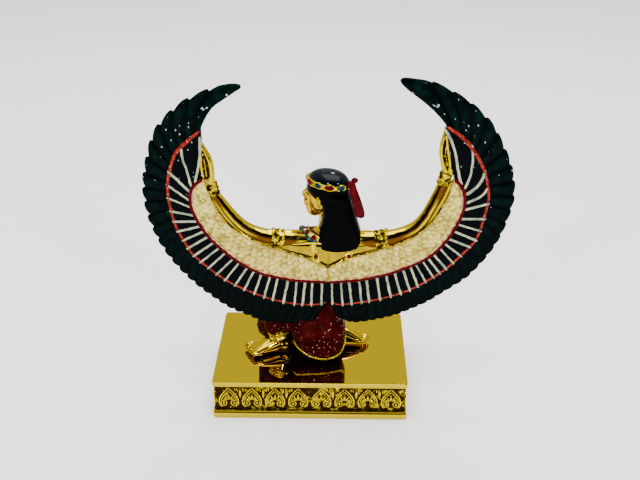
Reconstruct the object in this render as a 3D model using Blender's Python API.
"""Kneeling winged goddess on an ornamented plinth: a cast figure, gold plated and enamelled.

Run it with blender --background --python part.py, or from the text editor.
Metres, +Z up. The origin is at the middle of the plinth's underside.
The chest and the wings face -Y. The head and the bent legs are turned towards +X.
"""

import math

import bmesh
import bpy
from mathutils import Matrix, Vector

MM = 0.001

# Sizes of the plinth.
PLINTH_LENGTH = 90 * MM
PLINTH_DEPTH = 66.6 * MM
PLINTH_HEIGHT = 19.3 * MM
PLINTH_CORNER = 1.5 * MM
CORNER_STEPS = 3
SLAB_THICKNESS = 2.6 * MM
SLAB_BEVEL = 0.4 * MM
FOOT_HEIGHT = 3.0 * MM
FOOT_SET_BACK = 0.1 * MM
BEAD_HEIGHT = 1.3 * MM
GROOVE_HEIGHT = 1.0 * MM
GROOVE_SET_BACK = 1.3 * MM
FRIEZE_SET_BACK = 0.9 * MM

# Sizes of the palmette frieze round the plinth.
PALMETTE_WIDTH = 9.4 * MM
PALMETTE_RELIEF = 0.5 * MM
PALMETTE_GAP = 1.3 * MM
PALMETTE_ROOT = 0.5 * MM

# Size and place of the figure. Its form is given in figure units: 1/138 of its height.
FIGURE_HEIGHT = 138 * MM
UNITS_IN_HEIGHT = 138
FIGURE_SHIFT_X = -8 * MM
FIGURE_SHIFT_Y = 0 * MM
SEAT_GAP = 0.3 * MM

# Thicknesses of the wings, which step down from the coverts to the long feathers.
COVERT_THICKNESS = 5.0 * MM
SECONDARY_THICKNESS = 4.0 * MM
PRIMARY_THICKNESS = 3.2 * MM
FEATHER_EDGE_THICKNESS = 1.9 * MM
FEATHER_FLUTE = 0.45 * MM
PRIMARY_COUNT = 32

# Colours of the enamels and the plating.
GOLD = (0.95, 0.70, 0.05, 1.0)
FEATHER_GREEN = (0.0, 0.045, 0.04, 1.0)

UNIT = FIGURE_HEIGHT / UNITS_IN_HEIGHT
SEAT_HEIGHT = PLINTH_HEIGHT + SEAT_GAP


def clear_scene():
    """Removes the objects that a new file holds."""
    for thing in list(bpy.data.objects):
        bpy.data.objects.remove(thing)


def enamel(name, colour, roughness, metallic):
    """A Principled material with one colour."""
    material = bpy.data.materials.new(name)
    material.use_nodes = True
    shader = material.node_tree.nodes["Principled BSDF"]
    shader.inputs["Base Color"].default_value = colour
    shader.inputs["Roughness"].default_value = roughness
    shader.inputs["Metallic"].default_value = metallic
    return material


def closed_object(name, mesh_builder, collection=None):
    """An object from a bmesh whose faces are turned outwards."""
    bmesh.ops.recalc_face_normals(mesh_builder, faces=mesh_builder.faces)
    mesh = bpy.data.meshes.new(name)
    mesh_builder.to_mesh(mesh)
    mesh_builder.free()
    thing = bpy.data.objects.new(name, mesh)
    (collection or bpy.context.scene.collection).objects.link(thing)
    return thing


def helper_collection(name):
    """A collection of shapes that a Boolean joins to a piece. It is left out of renders."""
    collection = bpy.data.collections.new(name)
    bpy.context.scene.collection.children.link(collection)
    collection.hide_render = True
    return collection


def join_collection(piece, collection):
    """One body from the piece and every shape in the collection."""
    for helper in collection.objects:
        helper.hide_render = True
        helper.display_type = "WIRE"
    union = piece.modifiers.new("One casting", "BOOLEAN")
    union.operation = "UNION"
    union.operand_type = "COLLECTION"
    union.collection = collection
    union.solver = "EXACT"


def loft(name, rings, collection=None):
    """A closed tube through rings that hold the same number of points."""
    bm = bmesh.new()
    loops = [[bm.verts.new(point) for point in ring] for ring in rings]
    count = len(rings[0])
    for lower, upper in zip(loops, loops[1:]):
        for k in range(count):
            after = (k + 1) % count
            bm.faces.new((lower[k], lower[after], upper[after], upper[k]))
    bm.faces.new(loops[0])
    bm.faces.new(loops[-1])
    return closed_object(name, bm, collection)


def smooth_curve(points, steps_per_span=12):
    """Points along a Catmull-Rom curve through the given ones."""
    points = [Vector(p) for p in points]
    padded = [2 * points[0] - points[1], *points, 2 * points[-1] - points[-2]]
    fine = []
    for before, start, end, after in zip(padded, padded[1:], padded[2:], padded[3:]):
        for step in range(steps_per_span):
            t = step / steps_per_span
            fine.append(
                0.5
                * (
                    2 * start
                    + (end - before) * t
                    + (2 * before - 5 * start + 4 * end - after) * t**2
                    + (3 * start - before - 3 * end + after) * t**3
                )
            )
    fine.append(points[-1])
    return fine


def point_along(fine, share):
    """The point at a share of the length of a polyline."""
    spans = [(b - a).length for a, b in zip(fine, fine[1:])]
    left = min(max(share, 0.0), 1.0) * sum(spans)
    for start, end, span in zip(fine, fine[1:], spans):
        if left <= span:
            return start.lerp(end, left / span)
        left -= span
    return fine[-1].copy()


def figure_point(x, y, z):
    """A place given in figure units from the middle of the figure on its seat, in metres."""
    return Vector((FIGURE_SHIFT_X + x * UNIT, FIGURE_SHIFT_Y + y * UNIT, SEAT_HEIGHT + z * UNIT))


# The plinth: a polished slab, a set-back frieze, a bead and a foot, cast as one block.


def rounded_rectangle(set_back, height):
    """The plinth's outline at a height, set back from the slab's edge."""
    half_x = PLINTH_LENGTH / 2 - set_back
    half_y = PLINTH_DEPTH / 2 - set_back
    ring = []
    for turn, (sign_x, sign_y) in enumerate(((1, 1), (-1, 1), (-1, -1), (1, -1))):
        centre = Vector((sign_x * (half_x - PLINTH_CORNER), sign_y * (half_y - PLINTH_CORNER), height))
        for step in range(CORNER_STEPS + 1):
            angle = math.radians(90) * (turn + step / CORNER_STEPS)
            ring.append(centre + PLINTH_CORNER * Vector((math.cos(angle), math.sin(angle), 0)))
    return ring


def frieze_span():
    """The lowest and highest level of the frieze's ground."""
    return FOOT_HEIGHT + BEAD_HEIGHT + GROOVE_HEIGHT, PLINTH_HEIGHT - SLAB_THICKNESS


def plinth_body():
    """The block, from its underside to the slab."""
    frieze_low, frieze_high = frieze_span()
    bead_low = FOOT_HEIGHT
    bead_high = FOOT_HEIGHT + BEAD_HEIGHT
    profile = (
        (FOOT_SET_BACK, 0.0),
        (FOOT_SET_BACK, bead_low),
        (FOOT_SET_BACK + BEAD_HEIGHT / 2, bead_high),
        (GROOVE_SET_BACK, bead_high),
        (GROOVE_SET_BACK, frieze_low),
        (FRIEZE_SET_BACK, frieze_low),
        (FRIEZE_SET_BACK, frieze_high),
        (SLAB_BEVEL, frieze_high),
        (0.0, frieze_high + SLAB_BEVEL),
        (0.0, PLINTH_HEIGHT - SLAB_BEVEL),
        (SLAB_BEVEL, PLINTH_HEIGHT),
    )
    return loft("plinth", [rounded_rectangle(set_back, z) for set_back, z in profile])


def palmette_outline(height):
    """A pointed arch on two round lobes: half of it, from its foot to its tip, then mirrored."""
    half = PALMETTE_WIDTH / 2
    lobe = half / 2
    side = [Vector((0.0, lobe * 0.35))]
    for angle in (-90, -45, 0):
        turn = math.radians(angle)
        side.append(Vector((half - lobe + lobe * math.cos(turn), lobe + lobe * math.sin(turn))))
    side.append(Vector((half * 0.78, height * 0.62)))
    side.append(Vector((0.0, height)))
    return side + [Vector((-p.x, p.y)) for p in reversed(side[1:-1])]


def palmette(place, along, outward, height, collection):
    """One palmette, raised from the frieze's ground."""
    up = Vector((0, 0, 1))
    bm = bmesh.new()
    root = [place + along * p.x + up * p.y - outward * PALMETTE_ROOT for p in palmette_outline(height)]
    face = bm.faces.new([bm.verts.new(p) for p in root])
    raised = bmesh.ops.extrude_face_region(bm, geom=[face])["geom"]
    moved = [v for v in raised if isinstance(v, bmesh.types.BMVert)]
    bmesh.ops.translate(bm, verts=moved, vec=outward * (PALMETTE_ROOT + PALMETTE_RELIEF))
    closed_object("palmette", bm, collection)


def frieze(collection):
    """Palmettes at an even pitch along the four sides."""
    low, high = frieze_span()
    margin = PALMETTE_ROOT
    height = high - low - 2 * margin
    pitch = PALMETTE_WIDTH + PALMETTE_GAP
    sides = (
        (Vector((1, 0, 0)), Vector((0, 1, 0)), PLINTH_LENGTH, PLINTH_DEPTH),
        (Vector((1, 0, 0)), Vector((0, -1, 0)), PLINTH_LENGTH, PLINTH_DEPTH),
        (Vector((0, 1, 0)), Vector((1, 0, 0)), PLINTH_DEPTH, PLINTH_LENGTH),
        (Vector((0, 1, 0)), Vector((-1, 0, 0)), PLINTH_DEPTH, PLINTH_LENGTH),
    )
    for along, outward, run, across in sides:
        count = int((run - 2 * FRIEZE_SET_BACK) / pitch)
        ground = outward * (across / 2 - FRIEZE_SET_BACK)
        for k in range(count):
            offset = (k - (count - 1) / 2) * pitch
            place = ground + along * offset + Vector((0, 0, low + margin))
            palmette(place, along, outward, height, collection)


# The wings: one crescent in the X-Z plane, in figure units, x from the middle and z from the seat.
# The left and the right wing differ a little, as in a piece whose model was cut by hand.

LEFT = 1
RIGHT = -1
WING_MID_Y = 11.8
ARM_LINE = (
    (0, 49.2), (8, 54.6), (14, 58), (20, 60.2), (27, 62), (33.5, 64.4),
    (39, 67.8), (44, 73), (47.8, 79), (50.6, 85), (53, 91.4),
)
COVERT_LINE = {
    LEFT: (
        (0, 41.8), (14.7, 42.7), (23.4, 44.3), (32.1, 46.8), (43.5, 54.1),
        (54.5, 65.5), (60.2, 77.2), (60.6, 85), (58.5, 89), (55, 91.6),
    ),
    RIGHT: (
        (0, 41.8), (13.8, 43.1), (22.5, 45.1), (31.1, 47.8), (45.2, 55),
        (54.4, 65.8), (59.6, 78.3), (59.6, 84.8), (58.1, 89.2), (54.9, 92.4),
    ),
}
SECONDARY_LINE = {
    LEFT: (
        (0, 31), (6, 29.6), (15.4, 30), (25.4, 32.1), (34.7, 35.6), (47.4, 42.4), (60.3, 53.9),
        (65, 61.6), (68.8, 70.9), (70.9, 86.3), (68.5, 98.8), (64.7, 105.9), (54.9, 114.4),
    ),
    RIGHT: (
        (0, 31), (6.4, 29.8), (19.8, 31.9), (28.6, 34.3), (37.2, 37.7), (44.6, 42.1), (54.1, 49.3),
        (62.8, 59), (66.9, 65.3), (70.1, 79.5), (70.2, 87.4), (66.9, 98.7), (59.1, 110.3), (50, 117.1),
    ),
}
FEATHER_LINE = {
    LEFT: (
        (10, 20.6), (18, 18.8), (28, 19.8), (36.3, 22.4), (46.2, 27), (55.4, 34), (62.3, 40.2), (68.6, 47.4),
        (74.3, 55.7), (78.6, 65.2), (81.7, 75.8), (82.5, 88.3), (80.2, 101.5), (75.2, 115.4), (63.7, 126.8),
        (48.6, 134), (36.4, 134.2),
    ),
    RIGHT: (
        (9, 20.6), (14, 19.6), (26, 22.2), (34.1, 25), (45.1, 30.5), (52.5, 35.6), (62.2, 42.7), (66.5, 47.3),
        (72.3, 55), (76.9, 63.5), (80.4, 74.2), (81.8, 84.5), (80.8, 97), (76.2, 109), (71.2, 118.1),
        (61.8, 127.6), (47, 135.8), (38.9, 137.8), (30.4, 137.2),
    ),
}
TIP_BULGE = 3.0
SCALLOP = 0.045


def feather_share(s):
    """Where a long feather ends along the outer edge: close together below, wide apart at the tip."""
    return 0.64 * s + 0.36 * s**3.2


def wing_rows(s, curves, ridge):
    """The places in the wing's plane, and the half thickness there, from the arm line to the outer edge."""
    arm, covert, secondary, outer = curves
    a = point_along(arm, s)
    b = point_along(covert, s)
    c = point_along(secondary, s)
    e = point_along(outer, feather_share(s))
    bulge = Vector((1, 0.35)) * TIP_BULGE * s**4
    middle = c.lerp(e, 0.5) + bulge
    reach = 1.0 if ridge else 1.0 - SCALLOP - SCALLOP * s**6
    flute = 0.0 if ridge else FEATHER_FLUTE / UNIT
    end = c.lerp(e, reach)
    step = 0.05
    sizes = (COVERT_THICKNESS, SECONDARY_THICKNESS, PRIMARY_THICKNESS, FEATHER_EDGE_THICKNESS)
    thick = [size / UNIT / 2 for size in sizes]
    return [
        (a, thick[0] * 0.8),
        (b, thick[0]),
        (b.lerp(c, step * 2), thick[1]),
        (c, thick[1] * 0.92),
        (c.lerp(middle, step * 2), thick[2] - flute * 0.4),
        (middle, thick[2] * 0.9 - flute),
        (end, thick[3] - flute * 0.6),
    ]


def wing_half(bm, side):
    """One wing's front and back grids and its rims. Both halves share the points on the middle plane.

    Inside the line where the long feathers start, one column of faces serves a whole feather.
    """
    lines = (ARM_LINE, COVERT_LINE[side], SECONDARY_LINE[side], FEATHER_LINE[side])
    curves = [smooth_curve(line) for line in lines]
    columns = 2 * PRIMARY_COUNT
    root = 3
    points = {}
    for j in range(columns + 1):
        rows = wing_rows(j / columns, curves, ridge=j % 2 == 1 or j == columns)
        for i, (place, half) in enumerate(rows):
            if i <= root and j % 2 == 1:
                continue
            for face in (-1, 1):
                spot = figure_point(side * place.x, WING_MID_Y + face * half, place.y)
                points[face, i, j] = bm.verts.new(spot)
    last = len(rows) - 1
    for face in (-1, 1):
        for j in range(0, columns, 2):
            for i in range(root):
                corners = ((i, j), (i, j + 2), (i + 1, j + 2), (i + 1, j))
                bm.faces.new([points[face, a, b] for a, b in corners])
            corners = ((root, j), (root, j + 2), (root + 1, j + 2), (root + 1, j + 1), (root + 1, j))
            bm.faces.new([points[face, a, b] for a, b in corners])
        for i in range(root + 1, last):
            for j in range(columns):
                corners = ((i, j), (i, j + 1), (i + 1, j + 1), (i + 1, j))
                bm.faces.new([points[face, a, b] for a, b in corners])
    rim = [(0, j) for j in range(0, columns, 2)] + [(i, columns) for i in range(last)]
    rim += [(last, j) for j in range(columns, 0, -1)] + [(i, 0) for i in range(last, root, -1)]
    for (i, j), (k, m) in zip(rim, rim[1:] + [(root, 0)]):
        bm.faces.new((points[-1, i, j], points[-1, k, m], points[1, k, m], points[1, i, j]))


def wings():
    """Both wings as one plate, open in a notch between the lowest feathers."""
    bm = bmesh.new()
    for side in (LEFT, RIGHT):
        wing_half(bm, side)
    bmesh.ops.remove_doubles(bm, verts=bm.verts, dist=UNIT * 1e-3)
    return closed_object("goddess", bm)


# The figure's body, in figure units. Rings run round the body, limbs follow a path.


def level_ring(x, y, z, half_x, half_y, yaw=0.0, sides=14):
    """A level ellipse, turned by yaw degrees."""
    turn = Matrix.Rotation(math.radians(yaw), 3, "Z")
    ring = []
    for k in range(sides):
        angle = math.tau * k / sides
        offset = turn @ Vector((half_x * math.cos(angle), half_y * math.sin(angle), 0))
        ring.append(figure_point(x + offset.x, y + offset.y, z))
    return ring


def stack(name, rings, collection, sides=14):
    """A body from level ellipses (x, y, z, half x, half y, yaw)."""
    return loft(name, [level_ring(*ring, sides=sides) for ring in rings], collection)


def limb(name, stations, collection, sides=8, mirror=1):
    """A limb through stations (x, y, z, half along Y, half across it), with rings square to the path."""
    places = [Vector(s[:3]) for s in stations]
    rings = []
    for k, (x, y, z, half_y, half_across) in enumerate(stations):
        path = (places[min(k + 1, len(places) - 1)] - places[max(k - 1, 0)]).normalized()
        along_y = (Vector((0, 1, 0)) - path * path.y).normalized()
        across = path.cross(along_y)
        ring = []
        for j in range(sides):
            angle = math.tau * j / sides
            p = places[k] + along_y * half_y * math.cos(angle) + across * half_across * math.sin(angle)
            ring.append(figure_point(mirror * p.x, p.y, p.z))
        rings.append(ring)
    return loft(name, rings, collection)


def ball(name, centre, halves, collection, yaw=0.0, rounds=8, levels=5):
    """An ellipsoid with half sizes (x, y, z)."""
    bm = bmesh.new()
    bmesh.ops.create_uvsphere(bm, u_segments=rounds, v_segments=levels, radius=1.0)
    grow = Matrix.Diagonal((*[h * UNIT for h in halves], 1.0))
    turn = Matrix.Rotation(math.radians(yaw), 4, "Z")
    bmesh.ops.transform(bm, verts=bm.verts, matrix=Matrix.Translation(figure_point(*centre)) @ turn @ grow)
    return closed_object(name, bm, collection)


TORSO = (
    (1.5, 5, 8, 8, 9.5, 0),
    (1.5, 5, 17, 8.8, 9.4, 0),
    (0.9, 4.8, 25, 8.2, 8.4, 0),
    (0.3, 4.6, 33, 7.0, 6.2, 0),
    (0, 4.4, 40, 7.8, 6.3, 0),
    (0, 4.2, 49, 10.6, 7.3, 0),
    (0, 4.6, 55.5, 12.4, 7.4, 0),
    (0, 5.0, 60.2, 12.6, 6.5, 0),
    (0, 5.2, 62.8, 10.0, 5.4, 0),
    (0, 4.8, 65, 5.3, 4.5, 0),
    (0.4, 4.6, 71, 3.9, 3.9, 0),
    (1.4, 4.2, 76, 3.8, 3.8, 0),
)
BREAST = (5.3, -1.8, 51.5)
BREAST_HALF = (4.4, 4.2, 4.4)

# Slices of the dress across X: (x, left thigh's y, z and radius, right thigh's y, z and radius).
LAP = (
    (-8.2, 7.0, 12.5, 2.6, 3.0, 12.5, 2.4),
    (-6.6, 6.6, 12.4, 6.0, 1.6, 12.2, 5.8),
    (-2, 6.0, 12.6, 7.6, -0.2, 11.6, 8.2),
    (5, 5.6, 15.0, 8.0, -2, 11.0, 8.4),
    (13, 5.0, 21.0, 7.8, -4, 9.6, 8.0),
    (21, 4.2, 28.0, 7.0, -5.6, 8.0, 7.3),
    (27, 3.6, 33.0, 5.8, -6.6, 6.9, 6.5),
    (31.5, 3.3, 35.0, 3.9, -7.2, 6.4, 5.0),
    (34.2, 3.1, 35.8, 1.6, -7.5, 6.0, 2.6),
)
LEFT_SHIN = (
    (30.2, 3.25, 37.6, 2.4, 2.4),
    (30.0, 3.45, 36.0, 4.6, 4.6),
    (29.4, 4.05, 31.5, 5.6, 5.6),
    (27.4, 5.05, 24.5, 5.4, 5.6),
    (25.8, 5.75, 17.5, 5.0, 5.2),
    (24.7, 5.65, 12.5, 4.8, 5.0),
)
LEFT_ANKLE = (
    (24.6, 5.8, 14.0, 3.6, 3.8),
    (23.5, 5.4, 10, 3.5, 3.7),
    (22.6, 5.1, 5, 3.4, 3.8),
)
LEFT_FOOT = (
    (17.6, 3.9, 2.6, 1.8, 1.9),
    (19.2, 4.1, 3.5, 3.2, 3.4),
    (22.4, 4.8, 4.6, 3.9, 4.5),
    (26.4, 5.9, 4.2, 4.4, 4.1),
    (30.4, 7.0, 3.3, 5.0, 3.2),
    (34.4, 8.0, 2.5, 5.3, 2.4),
    (37.6, 8.5, 1.9, 4.7, 1.8),
    (40.0, 8.5, 1.4, 3.0, 1.2),
)
RIGHT_SHIN = (
    (33.2, -7.4, 4.4, 2.8, 2.8),
    (30, -7.2, 5.6, 5.2, 5.3),
    (14, -6.2, 5.8, 5.6, 5.5),
    (2, -5.0, 5.8, 5.0, 5.2),
    (-6, -4.0, 5.4, 4.0, 4.4),
)
RIGHT_FOOT = (
    (-4, -3.9, 4.9, 3.3, 4.1),
    (-8.5, -3.5, 4.3, 3.4, 3.9),
    (-12.5, -3.1, 3.6, 3.8, 3.2),
    (-16, -2.8, 2.6, 4.1, 2.3),
    (-18.7, -2.6, 2.0, 3.6, 1.7),
    (-20.4, -2.5, 1.6, 2.0, 1.1),
)
SEAT = (
    (3.4, 9.6, 2.3, 7.0, 6.2, 0),
    (3.8, 9.4, 4.4, 9.8, 8.6, 0),
    (4.4, 9.1, 8, 11.6, 9.4, 0),
    (5.0, 8.7, 13, 12.8, 9.0, 0),
    (5.0, 8.0, 17, 12.4, 7.4, 0),
    (4.6, 7.2, 21, 10.5, 5.6, 0),
    (4.0, 6.4, 24, 6.5, 4.0, 0),
)
ARM = {
    LEFT: (
        (7, 5.5, 59.5, 4.2, 4.8),
        (12, 8, 60.6, 4.2, 4.5),
        (17.5, 9.8, 61.6, 4.0, 4.3),
        (23, 10.8, 62.4, 3.7, 3.8),
        (29, 11.2, 63.8, 3.4, 3.3),
        (34.5, 11.2, 66.0, 3.2, 3.0),
        (39, 11.2, 69.0, 3.1, 2.8),
        (43.6, 11.2, 74.2, 3.0, 2.6),
        (47.4, 11.2, 79.6, 2.8, 2.4),
        (50.2, 11.2, 84.4, 2.6, 2.3),
        (51.6, 11.2, 88.6, 2.5, 2.4),
        (52.3, 11.2, 93, 2.4, 2.9),
        (52.8, 11.1, 98, 2.2, 3.0),
        (53.4, 11.0, 103, 1.9, 2.4),
        (54.5, 11.0, 107.4, 1.6, 1.5),
        (55.4, 11.0, 110, 0.9, 0.8),
    ),
    RIGHT: (
        (7, 5.5, 59.5, 4.2, 4.8),
        (12, 8, 60.4, 4.2, 4.7),
        (18, 9.8, 61.2, 4.0, 4.6),
        (24.5, 10.8, 62.2, 3.7, 4.1),
        (31, 11.2, 64.2, 3.4, 3.4),
        (37.6, 11.2, 67.2, 3.2, 3.1),
        (42.2, 11.2, 71.6, 3.1, 2.9),
        (45.4, 11.2, 77.4, 3.0, 2.8),
        (48.2, 11.2, 84, 2.8, 2.6),
        (50.2, 11.2, 90.4, 2.6, 2.4),
        (50.8, 11.2, 95, 2.5, 2.8),
        (51, 11.2, 99.5, 2.4, 3.4),
        (51, 11.1, 104.5, 2.1, 3.4),
        (51.2, 11.0, 109.5, 1.8, 2.8),
        (51.6, 11.0, 113.6, 1.5, 1.7),
        (51.6, 11.0, 116.2, 0.9, 0.8),
    ),
}
# Bands sit at a station of the arm or leg that they go round: (station, length, how far they stand out).
ARMLET = {LEFT: (3, 4.4, 0.9), RIGHT: (3, 4.4, 0.7)}
BRACELET = {LEFT: (9, 5.0, 0.9), RIGHT: (9, 5.4, 0.8)}
ANKLET = (1, 3.4, 1.1)


def band_stations(stations, place):
    """A band with rounded edges round one station of a limb, square to it."""
    index, length, standing_out = place
    middle = Vector(stations[index][:3])
    half_y, half_across = stations[index][3:]
    path = (Vector(stations[index + 1][:3]) - Vector(stations[index - 1][:3])).normalized()
    ring = []
    for along, out in ((-0.5, 0.3), (-0.32, 1.0), (0.32, 1.0), (0.5, 0.3)):
        spot = middle + path * along * length
        ring.append((*spot, half_y + standing_out * out, half_across + standing_out * out))
    return ring


def two_round_ring(x, left_y, left_z, left_r, right_y, right_z, right_r, half_sides=7):
    """A slice through the cloth stretched over both thighs: two arcs and the tangents between them."""
    left = Vector((left_y, left_z))
    right = Vector((right_y, right_z))
    gap = (left - right).length
    lean = math.atan2((left - right).y, (left - right).x)
    open_angle = math.acos(max(-1.0, min(1.0, (right_r - left_r) / gap)))
    ring = []
    for centre, radius, start, end in (
        (left, left_r, lean - open_angle, lean + open_angle),
        (right, right_r, lean + open_angle, lean + math.tau - open_angle),
    ):
        for k in range(half_sides):
            angle = start + (end - start) * k / (half_sides - 1)
            spot = centre + radius * Vector((math.cos(angle), math.sin(angle)))
            ring.append(figure_point(x, spot.x, spot.y))
    return ring


def lower_body(collection):
    """The seated hips, the dress over the lap and both legs and feet."""
    loft("lap of the dress", [two_round_ring(*slice_) for slice_ in LAP], collection)
    stack("seat", SEAT, collection)
    limb("left shin", LEFT_SHIN, collection, sides=12)
    limb("left ankle", LEFT_ANKLE, collection)
    limb("left foot", LEFT_FOOT, collection, sides=10)
    limb("anklet", band_stations(LEFT_ANKLE, ANKLET), collection, sides=10)
    limb("right shin", RIGHT_SHIN, collection, sides=12)
    limb("right foot", RIGHT_FOOT, collection, sides=10)


def upper_body(collection):
    """The torso with the neck, the breasts, and the arms with their bands."""
    stack("torso", TORSO, collection)
    x, y, z = BREAST
    for side in (LEFT, RIGHT):
        ball("breast", (side * x, y, z), BREAST_HALF, collection)
        limb("arm", ARM[side], collection, sides=10, mirror=side)
        limb("armlet", band_stations(ARM[side], ARMLET[side]), collection, mirror=side)
        limb("bracelet", band_stations(ARM[side], BRACELET[side]), collection, mirror=side)


# The head looks between +X and -Y. Its rings are (forward, height, half forward, half across).

HEAD_YAW = -28
HEAD_MIDDLE = (0.0, 5.3)
FACE = (
    (6.6, 70.2, 1.8, 1.6),
    (6.0, 71.2, 3.5, 2.9),
    (4.5, 74.0, 5.8, 4.9),
    (3.4, 77.5, 7.3, 6.1),
    (2.8, 81.0, 7.8, 6.6),
    (2.0, 84.0, 8.1, 6.7),
    (1.2, 87.0, 8.4, 6.6),
    (0.6, 89.6, 8.2, 6.2),
)
NOSE = (
    (9.8, 84.4, 0.6, 0.8), (10.8, 82.4, 0.9, 0.9), (11.3, 80.0, 1.4, 1.2),
    (11.2, 78.4, 1.7, 1.6), (10.4, 77.5, 1.2, 1.1),
)
MOUTH = (9.7, 0.0, 74.8)
MOUTH_HALF = (1.1, 2.1, 0.9)
EYE = (9.3, 3.1, 82.2)
EYE_HALF = (1.3, 1.7, 0.85)
EAR = (1.6, 6.6, 79.6)
EAR_HALF = (1.7, 0.9, 2.6)
WIG = (
    (0, 5.3, 92.8, 4.4, 3.2, HEAD_YAW),
    (0, 5.3, 92.2, 7.4, 5.2, HEAD_YAW),
    (0, 5.3, 90.9, 9.2, 6.5, HEAD_YAW),
    (0, 5.3, 87.4, 9.6, 6.9, HEAD_YAW),
    (-0.9, 5.6, 84.6, 8.7, 7.1, -26),
    (-3.5, 6.0, 80.2, 6.5, 6.9, -20),
    (-4.3, 6.4, 75.5, 7.2, 6.9, -10),
    (-5.0, 7.2, 70, 8.8, 6.7, 0),
    (-5.3, 8.4, 65, 9.9, 6.0, 0),
    (-5.2, 9.4, 60.5, 10.9, 5.2, 0),
    (-5.0, 9.9, 57.9, 10.9, 4.7, 0),
    (-5.0, 10.0, 56.3, 9.8, 3.7, 0),
)
HEADBAND = ((87.3, 9.3, 6.8), (87.8, 10.2, 7.5), (90.7, 10.0, 7.3), (91.2, 9.2, 6.5))
KNOT = (-10.3, 10.8, 88.9)
KNOT_HALF = (2.3, 1.8, 1.9)
TAIL = (
    (-10.2, 10.6, 89, 1.2, 1.5), (-11.0, 10.9, 85.5, 1.2, 1.8), (-12.4, 11.1, 80.5, 1.2, 1.9),
    (-13.5, 11.2, 75.5, 1.3, 2.1), (-13.9, 11.2, 73.8, 1.0, 1.7),
)
COLLAR = (
    (0, 5.2, 56.6, 12.4, 8.3, 0),
    (0, 5.2, 57.5, 13.8, 8.8, 0),
    (0, 5.2, 61.2, 13.6, 7.9, 0),
    (0, 5.0, 63.6, 10.0, 6.3, 0),
    (0, 4.8, 65.8, 5.5, 4.9, 0),
)


def head_place(forward, across):
    """A level place in the head's own directions, as figure x and y."""
    turn = math.radians(HEAD_YAW)
    x = HEAD_MIDDLE[0] + forward * math.cos(turn) - across * math.sin(turn)
    y = HEAD_MIDDLE[1] + forward * math.sin(turn) + across * math.cos(turn)
    return x, y


def head_stack(name, rings, collection, sides):
    """A form from level ellipses given in the head's own directions."""
    level = [(*head_place(u, 0), z, half_u, half_v, HEAD_YAW) for u, z, half_u, half_v in rings]
    return stack(name, level, collection, sides)


def head_ball(name, place, halves, collection, rounds=8, levels=4):
    """An ellipsoid placed in the head's own directions."""
    forward, across, z = place
    return ball(name, (*head_place(forward, across), z), halves, collection, HEAD_YAW, rounds, levels)


def head(collection):
    """The face, the wig with its headband, the ribbon's knot and tail, and the broad collar."""
    head_stack("face", FACE, collection, 12)
    head_stack("nose", NOSE, collection, 6)
    head_ball("mouth", MOUTH, MOUTH_HALF, collection)
    for side in (LEFT, RIGHT):
        head_ball("eye", (EYE[0], side * EYE[1], EYE[2]), EYE_HALF, collection)
        head_ball("ear", (EAR[0], side * EAR[1], EAR[2]), EAR_HALF, collection)
    stack("wig", WIG, collection, 16)
    band = [(*HEAD_MIDDLE, z, half_x, half_y, HEAD_YAW) for z, half_x, half_y in HEADBAND]
    stack("headband", band, collection, 16)
    ball("ribbon knot", KNOT, KNOT_HALF, collection, HEAD_YAW)
    limb("ribbon tail", TAIL, collection, sides=8)
    stack("broad collar", COLLAR, collection, 16)


def main():
    clear_scene()
    plinth = plinth_body()
    palmettes = helper_collection("Palmettes")
    frieze(palmettes)
    join_collection(plinth, palmettes)
    plinth.data.materials.append(enamel("Polished gold plating", GOLD, 0.12, 1.0))

    goddess = wings()
    body = helper_collection("Body")
    lower_body(body)
    upper_body(body)
    head(body)
    join_collection(goddess, body)
    goddess.data.materials.append(enamel("Feather enamel", FEATHER_GREEN, 0.25, 0.0))


main()
